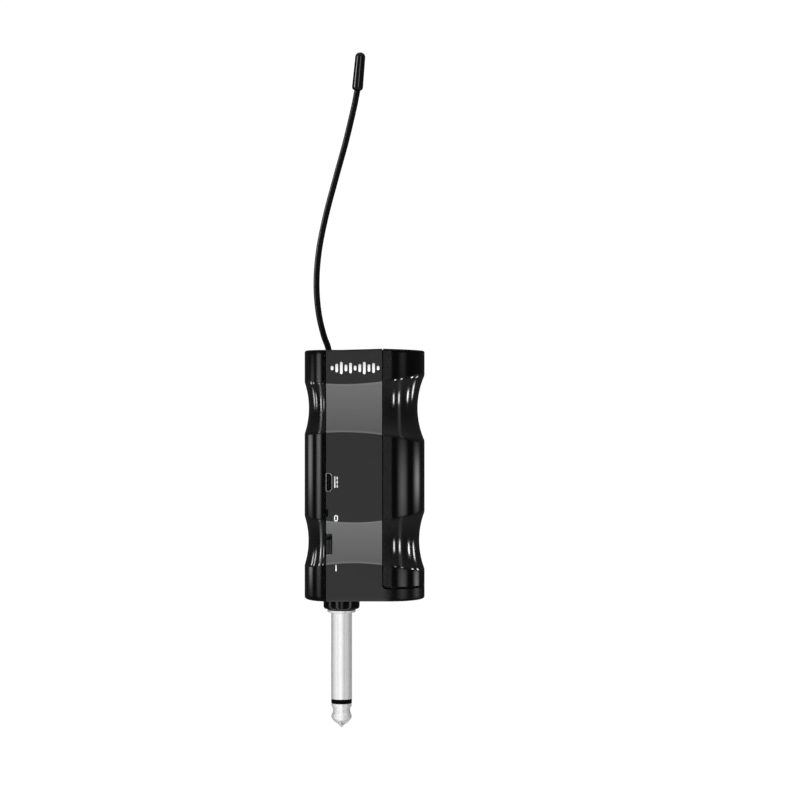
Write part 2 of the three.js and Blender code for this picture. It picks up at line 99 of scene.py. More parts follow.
SLOT_BOTTOM = 18.35
SLOT_TOP = 24.35
SLOT_RIGHT = -2.45
CELL_X = (low("battery_cell").x + high("battery_cell").x) / 2
PLUG_RADIUS = high("plug_tip").x + 0.075
RING_RADIUS = 3.12
SLEEVE_END = -26.05
RING_GROOVE = -26.68
TIP_START = -27.3
ANTENNA_X = -3.85
JACKET_RADIUS = 0.925

# ---------------------------------------------------------------- camera
VIEW_CENTRE = (17.6, 63.9)
CAMERA_DISTANCE = 650
FIELD_WIDTH = 241
SENSOR_WIDTH = 36


def make_camera():
    data = bpy.data.cameras.new("camera")
    data.sensor_width = SENSOR_WIDTH
    data.lens = SENSOR_WIDTH * CAMERA_DISTANCE / FIELD_WIDTH
    data.clip_start = 0.01
    data.clip_end = 20
    camera = bpy.data.objects.new("camera", data)
    bpy.context.scene.collection.objects.link(camera)
    x, z = VIEW_CENTRE
    camera.location = Vector((x, -CAMERA_DISTANCE, z)) * MM
    camera.rotation_euler = (math.pi / 2, 0, 0)
    bpy.context.scene.camera = camera


# ---------------------------------------------------------------- materials
PANEL_COLOR = (0.049, 0.0492, 0.05)
GLOSS_COLOR = (0.0022, 0.0022, 0.0023)


def fill_ramp(ramp, stops):
    """Sets the marks of a new colour ramp to two or more (position, colour) pairs."""
    marks = ramp.color_ramp.elements
    for mark, (position, color) in zip(marks, (stops[0], stops[-1])):
        mark.position = position
        mark.color = (*color, 1)
    for position, color in stops[1:-1]:
        marks.new(position).color = (*color, 1)


class Nodes:
    """A new material with a Principled shader and a few short ways to add nodes to it."""

    def __init__(self, name, color, roughness, metallic=0.0, **sockets):
        self.material = bpy.data.materials.new(name)
        self.material.use_nodes = True
        self.tree = self.material.node_tree
        self.shader = self.tree.nodes["Principled BSDF"]
        self.color = color
        self.shader.inputs["Base Color"].default_value = (*color, 1)
        self.shader.inputs["Roughness"].default_value = roughness
        self.shader.inputs["Metallic"].default_value = metallic
        for socket, value in sockets.items():
            self.shader.inputs[socket.replace("_", " ")].default_value = value
        self.place = self.tree.nodes.new("ShaderNodeTexCoord").outputs["Object"]

    def node(self, kind, **settings):
        made = self.tree.nodes.new(kind)
        for socket, value in settings.items():
            made.inputs[socket].default_value = value
        return made

    def link(self, output, target):
        self.tree.links.new(output, target)

    def noise(self, per_mm, detail=3, stretch=(1, 1, 1)):
        mapping = self.node("ShaderNodeMapping")
        mapping.inputs["Scale"].default_value = [s * per_mm / MM for s in stretch]
        self.link(self.place, mapping.inputs["Vector"])
        noise = self.node("ShaderNodeTexNoise", Scale=1.0, Detail=detail)
        self.link(mapping.outputs["Vector"], noise.inputs["Vector"])
        return noise.outputs["Fac"]

    def vary_color(self, factor, dark, light):
        ramp = self.node("ShaderNodeValToRGB")
        darker = [c * dark for c in self.color]
        lighter = [min(1, c * light) for c in self.color]
        fill_ramp(ramp, [(0.3, darker), (0.7, lighter)])
        self.link(factor, ramp.inputs["Fac"])
        self.link(ramp.outputs["Color"], self.shader.inputs["Base Color"])

    def vary_roughness(self, factor, smooth, rough):
        span = self.node("ShaderNodeMapRange")
        span.inputs["From Min"].default_value = 0.3
        span.inputs["From Max"].default_value = 0.7
        span.inputs["To Min"].default_value = smooth
        span.inputs["To Max"].default_value = rough
        self.link(factor, span.inputs["Value"])
        self.link(span.outputs["Result"], self.shader.inputs["Roughness"])

    def bump(self, height, depth_mm):
        bump = self.node("ShaderNodeBump", Strength=1.0, Distance=depth_mm * MM)
        self.link(height, bump.inputs["Height"])
        self.link(bump.outputs["Normal"], self.shader.inputs["Normal"])


def plastic(name, color, smooth, rough, grain, depth, mottle=0.06, **sockets):
    """Moulded plastic: fine grain in the surface, slow variation of gloss and colour."""
    made = Nodes(name, color, (smooth + rough) / 2, **sockets)
    made.vary_color(made.noise(0.12), 1 - mottle, 1 + mottle)
    made.vary_roughness(made.noise(0.35, detail=5), smooth, rough)
    made.bump(made.noise(grain), depth)
    return made.material


def metal(name, color, smooth, rough, stretch=(1, 1, 1), grain=3.0, depth=0.0008, mottle=0.05):
    """Turned or drawn metal: streaks of gloss along the way it was worked."""
    made = Nodes(name, color, (smooth + rough) / 2, metallic=1.0)
    made.vary_color(made.noise(0.2), 1 - mottle, 1 + mottle / 2)
    made.vary_roughness(made.noise(1.2, detail=6, stretch=stretch), smooth, rough)
    made.bump(made.noise(grain, stretch=stretch), depth)
    return made.material


def board_laminate():
    made = Nodes("board_laminate", (0.02, 0.11, 0.045), 0.4)
    made.vary_color(made.noise(0.3), 0.8, 1.2)
    lines = made.node("ShaderNodeTexWave", Scale=0.35 / MM, Distortion=3.0, Detail=1.0)
    made.link(made.place, lines.inputs["Vector"])
    made.bump(lines.outputs["Fac"], 0.03)
    return made.material


def strip_finish():
    """The strip under the door turns from the panel's satin to the gloss of the end."""
    made = Nodes("strip_blend", PANEL_COLOR, 0.4)
    parts = made.node("ShaderNodeSeparateXYZ")
    made.link(made.place, parts.inputs[0])
    span = made.node("ShaderNodeMapRange")
    span.interpolation_type = "SMOOTHSTEP"
    span.inputs["From Min"].default_value = 11.5 * MM
    span.inputs["From Max"].default_value = 15.5 * MM
    made.link(parts.outputs["X"], span.inputs["Value"])
    ramp = made.node("ShaderNodeValToRGB")
    fill_ramp(ramp, [(0, PANEL_COLOR), (1, GLOSS_COLOR)])
    made.link(span.outputs["Result"], ramp.inputs["Fac"])
    made.link(ramp.outputs["Color"], made.shader.inputs["Base Color"])
    rough = made.node("ShaderNodeMapRange")
    rough.inputs["To Min"].default_value = 0.5
    rough.inputs["To Max"].default_value = 0.28
    made.link(span.outputs["Result"], rough.inputs["Value"])
    made.link(rough.outputs["Result"], made.shader.inputs["Roughness"])
    made.bump(made.noise(4), 0.001)
    return made.material


MATERIALS = {
    "strip": strip_finish(),
    "gloss": plastic("gloss_black", GLOSS_COLOR, 0.13, 0.15, 1.2, 0.0001),
    "polish": plastic("gloss_black_waist", GLOSS_COLOR, 0.1, 0.12, 1.2, 0.0001, IOR=2.3),
    "panel": plastic("panel_satin", PANEL_COLOR, 0.5, 0.58, 6, 0.004, 0.03),
    # Lighter grey in the panel's waists: painted sheen, the light the hollows would reflect
    # painted into the colour
    "groove": plastic("groove_painted_sheen", (0.215, 0.2155, 0.216), 0.45, 0.55, 6, 0.003, 0.02),
    # Lighter still along the creases of the panel's waists: a painted highlight on the rounded
    # creases
    "rim": plastic("crease_painted_highlight", (0.27, 0.27, 0.271), 0.42, 0.5, 6, 0.002, 0.02),
    "inside": plastic("inside_moulding", (0.03, 0.03, 0.031), 0.5, 0.62, 3, 0.006),
    "black": plastic("moulded_black", (0.012, 0.012, 0.0125), 0.4, 0.5, 5, 0.004),
    "knob": plastic("knob_black", (0.045, 0.045, 0.046), 0.35, 0.45, 6, 0.003),
    "stipple": plastic("stippled_plate", (0.15, 0.15, 0.152), 0.5, 0.6, 2.5, 0.03, 0.5),
    "rubber": plastic("antenna_rubber", (0.008, 0.008, 0.0083), 0.3, 0.38, 5, 0.003),
    "cap": plastic("cap_gloss", (0.006, 0.006, 0.0062), 0.1, 0.14, 2, 0.0004, IOR=1.8),
    "chip": plastic("chip_resin", (0.018, 0.018, 0.019), 0.5, 0.65, 9, 0.004),
    "ceramic": plastic("component_ceramic", (0.72, 0.66, 0.52), 0.35, 0.45, 5, 0.002),
    "wrap": plastic("cell_wrap", (0.03, 0.09, 0.32), 0.25, 0.36, 0.6, 0.0015),
    # White print, its own colour; the emission on it is painted light, a glow the print gives off
    # though it is no lamp
    "ink": plastic("white_print_painted_glow", (0.88, 0.88, 0.88), 0.45, 0.55, 8, 0.002, 0.02,
                   Emission_Color=(1, 1, 1, 1), Emission_Strength=0.5),
    "red": plastic("wire_red", (0.45, 0.02, 0.015), 0.35, 0.45, 3, 0.003),
    "wire_black": plastic("wire_black", (0.014, 0.014, 0.015), 0.35, 0.45, 3, 0.003),
    "chrome": metal("plug_chrome", (0.93, 0.92, 0.92), 0.2, 0.26, (0.5, 0.5, 6), 3, 0.0001, 0.02),
    "chrome_tip": metal("plug_chrome_tip", (0.93, 0.92, 0.92), 0.2, 0.32, (1, 1, 1), 0.9, 0.11),
    "steel": metal("spring_steel", (0.62, 0.62, 0.63), 0.22, 0.34, (4, 4, 0.6)),
    "brass": metal("contact_brass", (0.72, 0.5, 0.2), 0.24, 0.36, (4, 4, 0.6)),
    "copper": metal("feed_copper", (0.78, 0.36, 0.2), 0.25, 0.38, (4, 4, 0.6)),
    "board": board_laminate(),
}


# ---------------------------------------------------------------- mesh helpers
def new_object(name, mesh, materials):
    made = bpy.data.objects.new(name, mesh)
    bpy.context.scene.collection.objects.link(made)
    for key in materials:
        mesh.materials.append(MATERIALS[key])
    return made


def mesh_from(name, points, faces, materials):
    """A mesh in metres from points in millimetres; coincident points are merged."""
    mesh = bpy.data.meshes.new(name)
    mesh.from_pydata([Vector(p) * MM for p in points], [], faces)
    work = bmesh.new()
    work.from_mesh(mesh)
    bmesh.ops.remove_doubles(work, verts=work.verts, dist=2e-6)
    bmesh.ops.recalc_face_normals(work, faces=work.faces)
    for face in work.faces:
        face.smooth = True
    work.to_mesh(mesh)
    work.free()
    return new_object(name, mesh, materials)


def finish_modifiers(made):
    """Replaces an object's mesh by what its modifiers make of it."""
    graph = bpy.context.evaluated_depsgraph_get()
    mesh = bpy.data.meshes.new_from_object(made.evaluated_get(graph))
    made.modifiers.clear()
    made.data = mesh


def add_bevel(made, width, angle, segments=3):
    """Rounds the edges sharper than an angle in degrees, as a modifier."""
    bevel = made.modifiers.new("bevel", "BEVEL")
    bevel.width = width * MM
    bevel.segments = segments
    bevel.limit_method = "ANGLE"
    bevel.angle_limit = math.radians(angle)
    bevel.harden_normals = True
    bevel.use_clamp_overlap = True


def round_edges(made, width, angle, segments=3):
    """Rounds the edges sharper than an angle in degrees, in the mesh itself."""
    add_bevel(made, width, angle, segments)
    finish_modifiers(made)


def block(name, corner_low, corner_high, material, bevel=0.1):
    """A box with rounded edges, from two corners in millimetres."""
    (x0, y0, z0), (x1, y1, z1) = corner_low, corner_high
    points = [(x, y, z) for x in (x0, x1) for y in (y0, y1) for z in (z0, z1)]
    faces = [(0, 1, 3, 2), (4, 6, 7, 5), (0, 4, 5, 1), (2, 3, 7, 6), (0, 2, 6, 4), (1, 5, 7, 3)]
    made = mesh_from(name, points, faces, [material])
    if bevel > 0:
        round_edges(made, bevel, 40)
    return made


def prism(name, outline, y0, y1, material):
    """A flat outline in the XZ plane, pushed from y0 to y1."""
    count = len(outline)
    points = [(x, y0, z) for x, z in outline] + [(x, y1, z) for x, z in outline]
    faces = [tuple(range(count)), tuple(range(2 * count - 1, count - 1, -1))]
    for i in range(count):
        j = (i + 1) % count
        faces.append((i, j, j + count, i + count))
    return mesh_from(name, points, faces, [material])


def column_faces(levels):
    """Faces of a closed four-sided column whose points come four to a level."""
    faces = []
    for a in range(0, 4 * levels, 4):
        for p, q in ((0, 1), (1, 3), (3, 2), (2, 0)):
            faces.append((a + p, a + q, a + 4 + q, a + 4 + p))
    return faces + [(0, 1, 3, 2), tuple(4 * levels + i for i in (0, 2, 3, 1))]


def soften(profile, radius):
    """Rounds the corners of an open line of (r, z) points; the ends stay."""
    steps = 4
    result = [profile[0]]
    for before, corner, after in zip(profile, profile[1:], profile[2:]):
        here = Vector(corner)
        back = Vector(before) - here
        ahead = Vector(after) - here
        reach = min(radius, back.length * 0.45, ahead.length * 0.45)
        start = here + back.normalized() * reach
        end = here + ahead.normalized() * reach
        for i in range(steps + 1):
            t = i / steps
            point = start * (1 - t) ** 2 + here * 2 * t * (1 - t) + end * t * t
            result.append((point.x, point.y))
    result.append(profile[-1])
    return result


def lathe(name, profile, material, sides=96, centre=(0, 0)):
    """A turned piece about a vertical axis from (radius, height) points."""
    points = []
    for radius, height in profile:
        for i in range(sides):
            angle = 2 * math.pi * i / sides
            x = centre[0] + radius * math.cos(angle)
            points.append((x, centre[1] + radius * math.sin(angle), height))
    faces = []
    for row in range(len(profile) - 1):
        for i in range(sides):
            j = (i + 1) % sides
            a = row * sides
            faces.append((a + i, a + j, a + sides + j, a + sides + i))
    return mesh_from(name, points, faces, [material])


def sweep(name, path, radius, material, sides):
    """A round tube along a path; both ends closed."""
    points = []
    count = len(path)
    spare = Vector((0, 1, 0))
    for k, here in enumerate(path):
        before = path[max(0, k - 1)]
        after = path[min(count - 1, k + 1)]
        along = (after - before).normalized()
        side = along.cross(spare).normalized()
        up = side.cross(along).normalized()
        spare = up
        for i in range(sides):
            angle = 2 * math.pi * i / sides
            points.append(here + side * radius * math.cos(angle) + up * radius * math.sin(angle))
    faces = [tuple(range(sides)), tuple(range(len(points) - sides, len(points)))]
    for k in range(count - 1):
        for i in range(sides):
            j = (i + 1) % sides
            a = k * sides
            faces.append((a + i, a + j, a + sides + j, a + sides + i))
    return mesh_from(name, points, faces, [material])


def finished(made, body, nodes=()):
    """Hangs a piece under the empty of the body it rides on, and hides the CAD nodes that it
    stands for.
    """
    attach(made, body)
    if nodes:
        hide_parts(*nodes)


# ---------------------------------------------------------------- housing form
def top_height(x):
    return BODY_TOP + RIDGE_RISE * max(0, 1 - abs(x - DOOR_X) / RIDGE_SPREAD)


def end_station(centre, reach, angle):
    """A place on the half-ellipse at an end of the body: x, y and the outward normal."""
    across = math.cos(angle) / reach
    along = math.sin(angle) / HALF_DEPTH
    length = math.hypot(across, along)
    x = centre + reach * math.cos(angle)
    return (x, HALF_DEPTH * math.sin(angle), across / length, along / length)


def station(x):
    """The place on the back half of the outline at one x."""
    if FLAT_LEFT <= x <= FLAT_RIGHT:
        return (x, HALF_DEPTH, 0, 1)
    centre = FLAT_LEFT if x < FLAT_LEFT else FLAT_RIGHT
    reach = (BODY_LEFT if x < FLAT_LEFT else BODY_RIGHT) - centre
    return end_station(centre, reach, math.acos((x - centre) / reach))


def spread(start, stop, count):
    return [start + (stop - start) * i / count for i in range(count + 1)]


def stations_between(x0, x1, count):
    return [station(x) for x in spread(x0, x1, count)]


def stations_to_end(x_start, centre, reach, count):
    """Stations from x_start on an end's half-ellipse to its far point."""
    first = math.acos((x_start - centre) / reach)
    return [end_station(centre, reach, angle) for angle in spread(first, 0, count)]


def waist_sizes(waist, x):
    depth = waist["shallow"] + waist["gain"] * ((x - waist["middle"]) / WAIST_SPAN) ** 2
    return depth, math.sqrt(2 * WAIST_RADIUS * depth - depth**2)


def sink(x, z):
    """How far the waists pull the side in at one place, with softened creases."""
    total = 0
    for waist in WAISTS:
        depth, _ = waist_sizes(waist, x)
        rise = z - waist["height"]
        if abs(rise) < WAIST_RADIUS * 0.9:
            arc = math.sqrt(WAIST_RADIUS**2 - rise**2) - (WAIST_RADIUS - depth)
            blend = max(CREASE_SOFTNESS - abs(arc), 0) / CREASE_SOFTNESS
            total += max(arc, 0) + blend * blend * CREASE_SOFTNESS / 4
    return total


# Rows across a waist as shares of the way from its middle to a crease
NEAR_CREASE = [0.8, 0.88, 0.93, 0.965, 1.0, 1.035, 1.07, 1.12]
WAIST_SHARES = (
    [-s for s in reversed(NEAR_CREASE)]
    + [s / 10 for s in range(-7, 8)]
    + NEAR_CREASE
)
ROUND_STEPS = 5


def wall_rows(x, bottom, top, rounded_bottom=True):
    """Rows up the side at one x: (height, extra inset, zone).

    Zone 1 is inside a waist, zone 2 its crease and zone 0 the rest.
    """
    rows = []
    if rounded_bottom:
        for i in range(ROUND_STEPS + 1):
            angle = i / ROUND_STEPS * math.pi / 2
            z = bottom + EDGE_ROUND * (1 - math.cos(angle))
            rows.append((z, EDGE_ROUND * (1 - math.sin(angle)), 0))
    else:
        rows.append((bottom, 0, 0))
    for waist in WAISTS:
        _, half = waist_sizes(waist, x)
        first = waist["height"] + half * WAIST_SHARES[0]
        start = rows[-1][0]
        rows += [(z, 0, 0) for z in spread(start, first, 10)[1:-1]]
        for share in WAIST_SHARES:
            zone = 1 if abs(share) <= 0.98 else 2 if abs(share) <= 1.04 else 0
            rows.append((waist["height"] + half * share, 0, zone))
    rows += [(z, 0, 0) for z in spread(rows[-1][0], top - EDGE_ROUND, 10)[1:-1]]
    for i in range(ROUND_STEPS + 1):
        angle = i / ROUND_STEPS * math.pi / 2
        z = top - EDGE_ROUND * (1 - math.sin(angle))
        rows.append((z, EDGE_ROUND * (1 - math.cos(angle)), 0))
    return rows


STEPS_ACROSS = 10


def section(place, kind, bottom, strip_top=None):
    """One vertical section: [(outer point, inner point, zone)] as a loop or an open line.

    kind is "ring" for a closed section, "cover" for one open at the bottom, and "tray" for
    the bottom strip, open above strip_top.
    """
    x, y, nx, ny = place
    top = top_height(x)
    floor = bottom + WALL
    ceiling = top - WALL
    if kind == "tray":
        rows = [r for r in wall_rows(x, bottom, top) if r[0] <= bottom + EDGE_ROUND + 1e-6]
        rows += [(z, 0, 0) for z in spread(bottom + EDGE_ROUND, strip_top, 8)[1:]]
    else:
        rows = wall_rows(x, bottom, top, rounded_bottom=kind == "ring")

    def wall(side, z, extra, zone):
        offset = extra + sink(x, z)
        outer = (x - nx * offset, side * (y - ny * offset), z)
        inner_z = z if kind == "cover" else max(z, floor)
        if kind != "tray":
            inner_z = min(inner_z, ceiling)
        deep = sink(x, z) + WALL
        inner = (x - nx * deep, side * max(0, y - ny * deep), inner_z)
        return outer, inner, zone

    front = [wall(-1, *row) for row in rows]
    back = [wall(1, *row) for row in reversed(rows)]

    def across(first, last, shares):
        made = []
        for share in shares:
            outer = Vector(first[0]).lerp(Vector(last[0]), share)
            inner = Vector(first[1]).lerp(Vector(last[1]), share)
            made.append((tuple(outer), tuple(inner), 0))
        return made

    shares = spread(0, 1, STEPS_ACROSS)[1:-1]
    if kind == "tray":
        return list(reversed(front)) + across(front[0], back[-1], shares) + list(reversed(back))
    over = front + across(front[-1], back[0], shares) + back
    if kind == "cover":
        return over
    return over + across(back[-1], front[0], shares)


def shell(name, sections, closed, materials, zones):
    """A solid shell from vertical sections, all of the same number of points.

    zones gives each of the zones 0, 1 and 2 its place in the list of materials.
    """
    rows = len(sections[0])
    outer = [item[0] for part in sections for item in part]
    inner = [item[1] for part in sections for item in part]
    zone = [item[2] for part in sections for item in part]
    shift = len(outer)
    faces, marks = [], []
    steps = rows if closed else rows - 1
    for c in range(len(sections) - 1):
        for r in range(steps):
            a, b = c * rows + r, c * rows + (r + 1) % rows
            d, e = a + rows, b + rows
            faces.append((a, b, e, d))
            marks.append(zones[max(zone[a], zone[b]) if zone[a] and zone[b] else 0])
            faces.append((a + shift, d + shift, e + shift, b + shift))
            marks.append(0)
    # Where front and back meet in one line at the far point of an end, no end face is needed
    ends = [c for c in (0, len(sections) - 1) if abs(outer[c * rows][1]) > 1e-6]
    for c in ends:
        for r in range(steps):
            a, b = c * rows + r, c * rows + (r + 1) % rows
            faces.append((a, b, b + shift, a + shift))
            marks.append(0)
    if not closed:
        for c in range(len(sections) - 1):
            for r in (0, rows - 1):
                a, d = c * rows + r, (c + 1) * rows + r
                faces.append((a, d, d + shift, a + shift))
                marks.append(0)
    mesh = bpy.data.meshes.new(name)
    mesh.from_pydata([Vector(p) * MM for p in outer + inner], [], faces)
    for polygon, mark in zip(mesh.polygons, marks):
        polygon.material_index = mark
    work = bmesh.new()
    work.from_mesh(mesh)
    bmesh.ops.remove_doubles(work, verts=work.verts, dist=3e-6)
    bmesh.ops.dissolve_degenerate(work, dist=1e-7, edges=work.edges)
    bmesh.ops.recalc_face_normals(work, faces=work.faces)
    for face in work.faces:
        face.smooth = True
    work.to_mesh(mesh)
    work.free()
    return new_object(name, mesh, materials)


def cut_away(made, cutters):
    """Cuts openings with the given solids, which are then removed."""
    for cutter in cutters:
        modifier = made.modifiers.new("cut", "BOOLEAN")
        modifier.operation = "DIFFERENCE"
        modifier.solver = "EXACT"
        modifier.material_mode = "TRANSFER"
        modifier.object = cutter
    finish_modifiers(made)
    for cutter in cutters:
        bpy.data.objects.remove(cutter)


def inlay_grips(made, name, body):
    """Makes the polished waists, which are the second material, thin inlays let into the shell."""
    shell_work = bmesh.new()
    shell_work.from_mesh(made.data)
    inlay_work = shell_work.copy()
    polished = [face for face in shell_work.faces if face.material_index == 1]
    sunk = bmesh.ops.extrude_face_region(shell_work, geom=polished)["geom"]
    left_over = [face for face in polished if face.is_valid]
    bmesh.ops.delete(shell_work, geom=left_over, context="FACES_ONLY")
    bottom = {item for item in sunk if isinstance(item, bmesh.types.BMFace)}
    for item in sunk:
        if isinstance(item, bmesh.types.BMVert):
            normals = [face.normal for face in item.link_faces if face in bottom]
            item.co -= sum(normals, Vector()).normalized() * INLAY_THICK * MM
    for face in shell_work.faces:
        face.material_index = 0
    bmesh.ops.recalc_face_normals(shell_work, faces=shell_work.faces)
    shell_work.to_mesh(made.data)
    shell_work.free()
    others = [face for face in inlay_work.faces if face.material_index != 1]
    bmesh.ops.delete(inlay_work, geom=others, context="FACES")
    for face in inlay_work.faces:
        face.material_index = 0
    mesh = bpy.data.meshes.new(name)
    inlay_work.to_mesh(mesh)
    inlay_work.free()
    inlay = new_object(name, mesh, ["polish"])
    solid = inlay.modifiers.new("solid", "SOLIDIFY")
    solid.thickness = (INLAY_THICK - INLAY_GAP) * MM
    solid.offset = -1
    finish_modifiers(inlay)
    for piece in (made, inlay):
        piece.data.set_sharp_from_angle(angle=math.radians(50))
    finished(inlay, body)


def antenna_cutter():
    outline = [(0, BODY_TOP - 4), (1.95, BODY_TOP - 4), (1.95, BODY_TOP + 2), (0, BODY_TOP + 2)]
    return lathe("cutter", outline, "inside", 48, (ANTENNA_X, 0))


def make_main_shell():
    left = SEAM_RIGHT_EDGE
    right = DOOR_X - DOOR_GAP / 2
    panel = [
        section(place, "ring", BODY_BOTTOM)
        for place in stations_between(left, right, 26)
    ]
    # Zone 1, the waists, takes the painted sheen grey and zone 2, the creases, the painted
    # highlight grey
    made = shell("housing_panel", panel, True, ["panel", "groove", "rim"], (0, 1, 2))
    usb_low, usb_high = low("usb_shell"), high("usb_shell")
    led_low, led_high = low("led_light_pipe"), high("led_light_pipe")
    inner_x = left - 1
    clear = 0.05
    usb_right = usb_high.x + clear
    usb = prism("cutter", [
        (inner_x, usb_low.z - clear), (usb_right - 0.7, usb_low.z - clear),
        (usb_right, usb_low.z + 0.75), (usb_right, usb_high.z - 0.75),
        (usb_right - 0.7, usb_high.z + clear), (inner_x, usb_high.z + clear),
    ], -20, -9, "inside")
    led = block("cutter", (inner_x, -20, led_low.z - clear),
                (led_high.x + clear, -9, led_high.z + 0.12), "inside", 0)
    slot = block("cutter", (inner_x, -20, SLOT_BOTTOM), (SLOT_RIGHT, -9, SLOT_TOP), "inside", 0)
    cut_away(made, [usb, led, slot, antenna_cutter()])
    round_edges(made, 0.16, 50)
    finished(made, "housing", ["main_shell"])
    make_bottom_tray(right)


def corner_height(x, left, base, radius):
    """Height of an edge that runs level at base and curves up to the seam at left."""
    if x >= left + radius:
        return base
    return base + radius - math.sqrt(max(0, radius**2 - (left + radius - x) ** 2))


def stations_past_corner(left, radius, corner_steps, end_steps):
    """Stations from the door's seam to the right end, closest together round the corner."""
    near = [left + radius * (1 - math.cos(a)) for a in spread(0, math.pi / 2, corner_steps)]
    places = [station(x) for x in near] + stations_between(near[-1] + 0.4, FLAT_RIGHT, 3)
    reach = BODY_RIGHT - FLAT_RIGHT
    return places + stations_to_end(FLAT_RIGHT, FLAT_RIGHT, reach, end_steps)[1:]


def make_bottom_tray(left):
    """The strip under the door, going round the right end; it meets the panel at the seam."""
    base = DOOR_BOTTOM - DOOR_GAP / 2
    radius = DOOR_CORNER + DOOR_GAP / 2
    sections = [
        section(place, "tray", BODY_BOTTOM, corner_height(place[0], left, base, radius))
        for place in stations_past_corner(left, radius, 8, 40)
    ]
    made = shell("housing_strip", sections, False, ["strip"], (0, 0, 0))
    round_edges(made, 0.14, 50)
    finished(made, "housing")


def make_left_shell():
    reach = BODY_LEFT - FLAT_LEFT
    places = stations_to_end(SEAM_LEFT_EDGE, FLAT_LEFT, reach, 48)
    sections = [section(place, "ring", BODY_BOTTOM) for place in places]
    made = shell("left_half", sections, True, ["gloss", "polish"], (0, 1, 1))
    cut_away(made, [antenna_cutter()])
    round_edges(made, 0.22, 50)
    finished(made, "housing", ["left_shell"])
    inlay_grips(made, "left_half_grips", "housing")


def make_lip(name, x0, x1, depth, stretches, material):
    """A thin lip behind a seam; each stretch is (side, lowest z, highest z)."""
    pieces = []
    for side, z0, z1 in stretches:
        count = max(2, int((z1 - z0) / 1.5))
        points = []
        for z in spread(z0, z1, count):
            outer = HALF_DEPTH - depth - sink(x1, z)
            for x in (x0, x1):
                points += [(x, side * outer, z), (x, side * (outer - 0.6), z)]
        pieces.append(mesh_from("lip_part", points, column_faces(count), [material]))
    return join_all(pieces, name)


def make_seam_lip():
    """The thin lip of the left half that shows at the bottom of the parting gap."""
    clear = 0.4
    gaps = [
        (SLOT_BOTTOM - 2, SLOT_TOP + 4),
        (low("led_light_pipe").z - clear, high("led_light_pipe").z + clear),
        (low("usb_shell").z - clear, high("usb_shell").z + clear),
    ]
    bottom, top = BODY_BOTTOM + 1.2, BODY_TOP - 1.2
    stretches = []
    start = bottom
    for gap_low, gap_high in gaps:
        stretches.append((-1, start, gap_low))
        start = gap_high
    stretches += [(-1, start, top), (1, bottom, top)]
    made = make_lip("seam_lip", SEAM_LEFT_EDGE - 0.5, -3.75, 0.85, stretches, "gloss")
    finished(made, "housing")


def make_door_lips():
    """Lips of the housing that close the view into the seam beside and above the door."""
    x0, x1 = DOOR_X - 0.9, DOOR_X + 0.1
    z1 = top_height(DOOR_X) - 0.3
    stretches = [(side, DOOR_BOTTOM + 1, z1 - 0.8) for side in (-1, 1)]
    made = make_lip("door_seam_lip", x0, x1, 0.9, stretches, "inside")
    finished(made, "housing")
    reach = HALF_DEPTH - 1.2
    made = block("door_top_lip", (x0, -reach, z1 - 1.0), (x1, reach, z1), "inside", 0.08)
    finished(made, "housing")


def join_all(pieces, name):
    """Joins meshes that share one material list into one object."""
    work = bmesh.new()
    for piece in pieces:
        work.from_mesh(piece.data)
    joined = bpy.data.meshes.new(name)
    work.to_mesh(joined)
    work.free()
    made = bpy.data.objects.new(name, joined)
    bpy.context.scene.collection.objects.link(made)
    for material in pieces[0].data.materials:
        joined.materials.append(material)
    for piece in pieces:
        bpy.data.objects.remove(piece)
    return made


def make_door():
    left = DOOR_X + DOOR_GAP / 2
    bottom = DOOR_BOTTOM + DOOR_GAP / 2
    radius = DOOR_CORNER - DOOR_GAP / 2
    sections = [
        section(place, "cover", corner_height(place[0], left, bottom, radius))
        for place in stations_past_corner(left, radius, 6, 56)
    ]
    made = shell("battery_cover", sections, False, ["gloss", "polish"], (0, 1, 1))
    round_edges(made, 0.14, 50)
    finished(made, "door", ["battery_door"])
    inlay_grips(made, "battery_cover_grips", "door")


# ---------------------------------------------------------------- plug
def make_plug():
    sleeve = [
        (1.9, SLEEVE_END), (PLUG_RADIUS, SLEEVE_END), (PLUG_RADIUS, 0), (4.1, 0), (4.3, 0.2),
        (4.3, 0.8), (3.3, 0.8), (3.3, 9.3), (1.9, 9.3),
    ]
    made = lathe("plug_barrel", soften(sleeve, 0.18) + [sleeve[0]], "chrome")
    finished(made, "housing", ["plug_sleeve"])
    tip = [
        (0, -34.6), (0.45, -34.35), (0.95, -33.75), (1.85, -33.15), (2.55, -32.5),
        (3.02, -31.85), (3.12, -31.3), (3.0, -30.7), (2.7, -30.15), (2.58, -29.6),
        (2.62, -29.05), (2.86, -28.5), (3.05, -28.2), (3.08, TIP_START), (0, TIP_START),
    ]
    made = lathe("plug_point", soften(tip, 0.25), "chrome_tip")
    finished(made, "housing", ["plug_tip"])
    ring = [
        (0.8, TIP_START + 0.05), (RING_RADIUS, TIP_START + 0.05),
        (RING_RADIUS, RING_GROOVE - 0.06), (RING_RADIUS - 0.1, RING_GROOVE),
        (RING_RADIUS, RING_GROOVE + 0.06), (RING_RADIUS, SLEEVE_END - 0.05),
        (0.8, SLEEVE_END - 0.05),
    ]
    made = lathe("plug_band", soften(ring, 0.08) + [ring[0]], "gloss")
    finished(made, "housing", ["plug_insulator_ring"])
    collar = [
        (3.5, 1.05), (4.75, 1.05), (5.25, 1.25), (5.45, 1.75), (5.45, 4.15), (3.5, 4.15),
    ]
    made = lathe("plug_cuff", soften(collar, 0.2) + [collar[0]], "gloss")
    finished(made, "housing", ["plug_collar"])


